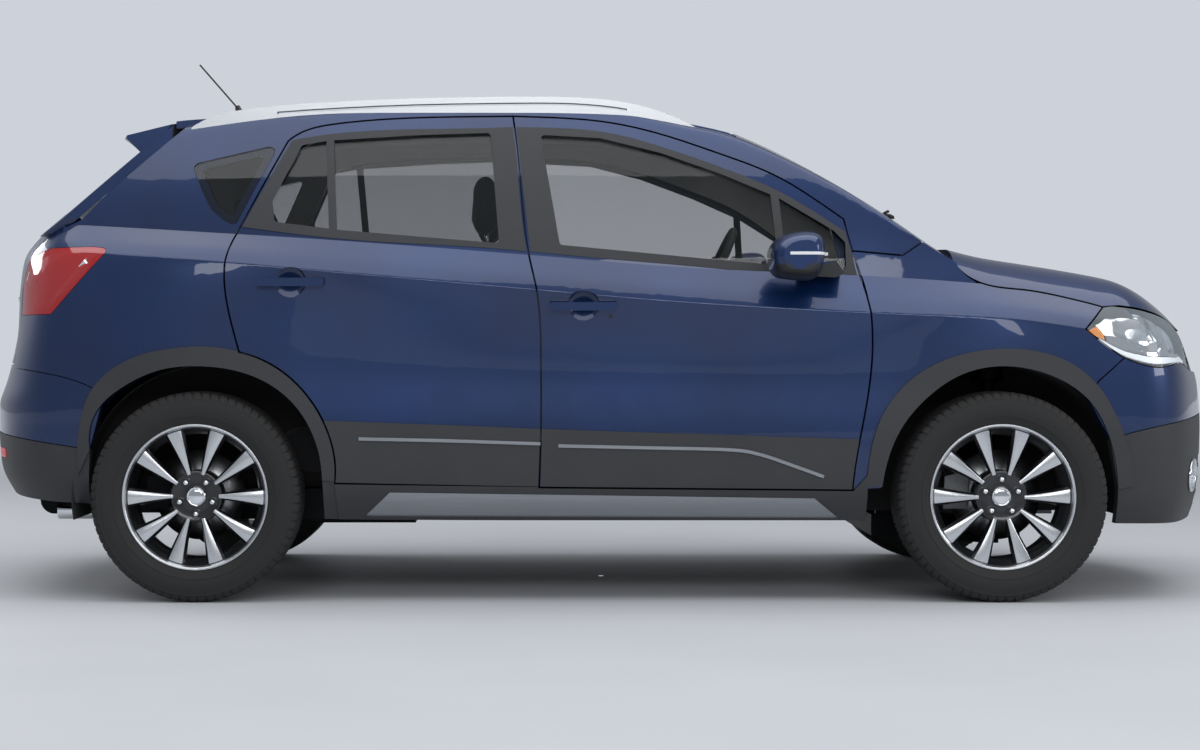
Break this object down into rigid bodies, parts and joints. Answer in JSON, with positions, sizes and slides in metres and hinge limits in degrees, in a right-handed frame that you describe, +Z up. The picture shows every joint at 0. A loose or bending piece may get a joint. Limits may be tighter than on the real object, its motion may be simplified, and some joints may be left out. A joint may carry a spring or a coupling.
{
  "type": "crossover car",
  "caption": "Five-door crossover car with opening doors, bonnet and tailgate, steered front wheels, roof rails and dark lower cladding.",
  "frame": {"origin": "on the ground under the middle of the car's bounding box", "axes": "+X forward, +Y to the car's left, +Z up"},
  "size_m": [4.1967, 2.0884, 1.8329],
  "materials": {
    "body_paint": "gloss",
    "body_metal": "satin",
    "black_plastic": "textured",
    "gloss_black": "gloss",
    "lamp_clear": "gloss",
    "lamp_red": "gloss",
    "clear_glass": "gloss",
    "rail_silver": "satin",
    "seat_cloth": "woven",
    "cabin_plastic": "textured",
    "engine_metal": "cast",
    "chassis_metal": "coated",
    "tyre_rubber": "matte",
    "wheel_alloy": "machined"
  },
  "bodies": {
    "body": {"floor_pan": "body_metal", "front_frame": "body_metal", "body_side_right": "body_paint", "body_side_left": "body_paint", "roof_panel": "body_paint", "front_wings": "body_paint", "front_bumper": "body_paint", "front_bumper_lower": "black_plastic", "rear_bumper": "body_paint", "rear_bumper_lower": "black_plastic", "grille": "gloss_black", "head_lamps": "lamp_clear", "tail_lamps": "lamp_red", "windscreen": "clear_glass", "quarter_glass": "clear_glass", "side_trims": "black_plastic", "roof_rails": "rail_silver", "antenna": "black_plastic", "dashboard": "cabin_plastic", "steering_wheel": "cabin_plastic", "front_seats": "seat_cloth", "rear_seat": "seat_cloth", "engine_block": "engine_metal", "underbody": "chassis_metal", "front_suspension": "chassis_metal", "rear_axle": "chassis_metal", "front_wheel_liners": "black_plastic", "rear_wheel_liners": "black_plastic", "cowl": "black_plastic"},
    "bonnet": {"bonnet": "body_paint"},
    "tailgate": {"tailgate": "body_paint", "tailgate_glass": "clear_glass"},
    "front_door_right": {"front_door_right": "body_paint", "front_door_glass_right": "clear_glass", "front_door_trim_right": "black_plastic", "door_mirror_right": "body_paint"},
    "rear_door_right": {"rear_door_right": "body_paint", "rear_door_glass_right": "clear_glass", "rear_door_trim_right": "black_plastic"},
    "front_knuckle_right": {"front_knuckle_right": "chassis_metal"},
    "wheel_front_right": {"tyre_front_right": "tyre_rubber", "rim_front_right": "wheel_alloy"},
    "wheel_rear_right": {"tyre_rear_right": "tyre_rubber", "rim_rear_right": "wheel_alloy"},
    "front_door_left": {"front_door_left": "body_paint", "front_door_glass_left": "clear_glass", "front_door_trim_left": "black_plastic", "door_mirror_left": "body_paint"},
    "rear_door_left": {"rear_door_left": "body_paint", "rear_door_glass_left": "clear_glass", "rear_door_trim_left": "black_plastic"},
    "front_knuckle_left": {"front_knuckle_left": "chassis_metal"},
    "wheel_front_left": {"tyre_front_left": "tyre_rubber", "rim_front_left": "wheel_alloy"},
    "wheel_rear_left": {"tyre_rear_left": "tyre_rubber", "rim_rear_left": "wheel_alloy"}
  },
  "joints": [
    {"name": "bonnet_hinge", "type": "hinge", "parent": "body", "child": "bonnet", "pos_m": [1.143, 0, 1.16045], "axis": [0, -1, 0], "range_deg": [0, 50]},
    {"name": "tailgate_hinge", "type": "hinge", "parent": "body", "child": "tailgate", "pos_m": [-1.442, 0, 1.60502], "axis": [0, 1, 0], "range_deg": [0, 78]},
    {"name": "front_door_right_hinge", "type": "hinge", "parent": "body", "child": "front_door_right", "pos_m": [0.8471, -0.87165, 0.7], "axis": [0, 0, 1], "range_deg": [0, 65]},
    {"name": "rear_door_right_hinge", "type": "hinge", "parent": "body", "child": "rear_door_right", "pos_m": [-0.21994, -0.87515, 0.7], "axis": [0, 0, 1], "range_deg": [0, 65]},
    {"name": "steer_right", "type": "hinge", "parent": "body", "child": "front_knuckle_right", "pos_m": [1.27, -0.672, 0.215], "axis": [0, 0.162, 0.9868], "range_deg": [-33, 33]},
    {"name": "wheel_front_right_spin", "type": "hinge", "parent": "front_knuckle_right", "child": "wheel_front_right", "pos_m": [1.27, -0.768, 0.339], "axis": [0, 1, 0], "continuous": true},
    {"name": "wheel_rear_right_spin", "type": "hinge", "parent": "body", "child": "wheel_rear_right", "pos_m": [-1.33, -0.768, 0.339], "axis": [0, 1, 0], "continuous": true},
    {"name": "front_door_left_hinge", "type": "hinge", "parent": "body", "child": "front_door_left", "pos_m": [0.8471, 0.87165, 0.7], "axis": [0, 0, -1], "range_deg": [0, 65]},
    {"name": "rear_door_left_hinge", "type": "hinge", "parent": "body", "child": "rear_door_left", "pos_m": [-0.21994, 0.87515, 0.7], "axis": [0, 0, -1], "range_deg": [0, 65]},
    {"name": "steer_left", "type": "hinge", "parent": "body", "child": "front_knuckle_left", "pos_m": [1.27, 0.672, 0.215], "axis": [0, -0.162, 0.9868], "range_deg": [-33, 33]},
    {"name": "wheel_front_left_spin", "type": "hinge", "parent": "front_knuckle_left", "child": "wheel_front_left", "pos_m": [1.27, 0.768, 0.339], "axis": [0, 1, 0], "continuous": true},
    {"name": "wheel_rear_left_spin", "type": "hinge", "parent": "body", "child": "wheel_rear_left", "pos_m": [-1.33, 0.768, 0.339], "axis": [0, 1, 0], "continuous": true}
  ]
}
